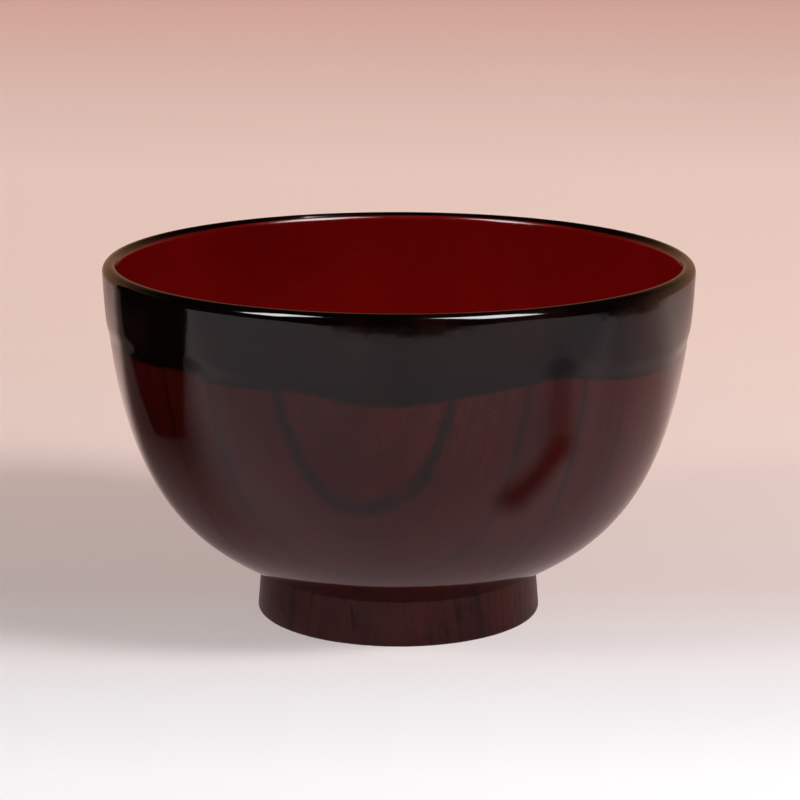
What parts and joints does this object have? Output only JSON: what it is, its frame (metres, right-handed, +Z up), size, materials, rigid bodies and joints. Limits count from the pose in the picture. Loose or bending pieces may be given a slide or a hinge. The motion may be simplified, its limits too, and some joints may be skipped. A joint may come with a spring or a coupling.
{
  "type": "rice bowl",
  "caption": "Turned wooden rice bowl on a foot ring, lacquered red inside and red-brown outside, with a thicker black lacquered rim.",
  "frame": {"origin": "on the bowl's axis, on the surface that the foot ring stands on", "axes": "+Z up along the axis of the bowl; the bowl is the same all round, -Y is the side taken as its front"},
  "size_m": [0.12, 0.12, 0.0733],
  "materials": {
    "wood": "turned, open grain",
    "cloth": "hemp cloth stiffened with lacquer",
    "black_lacquer": "high gloss black lacquer",
    "body_lacquer": "gloss, clear red-brown lacquer over wood grain",
    "foot_lacquer": "semi-gloss brown lacquer over wood grain",
    "base_lacquer": "semi-gloss black lacquer",
    "red_lacquer": "satin-gloss red lacquer"
  },
  "bodies": {
    "root": {"wood_core": "wood", "rim_cloth": "cloth", "rim_lacquer": "black_lacquer", "body_lacquer": "body_lacquer", "foot_lacquer": "foot_lacquer", "base_lacquer": "base_lacquer", "lining_lacquer": "red_lacquer"}
  },
  "joints": []
}
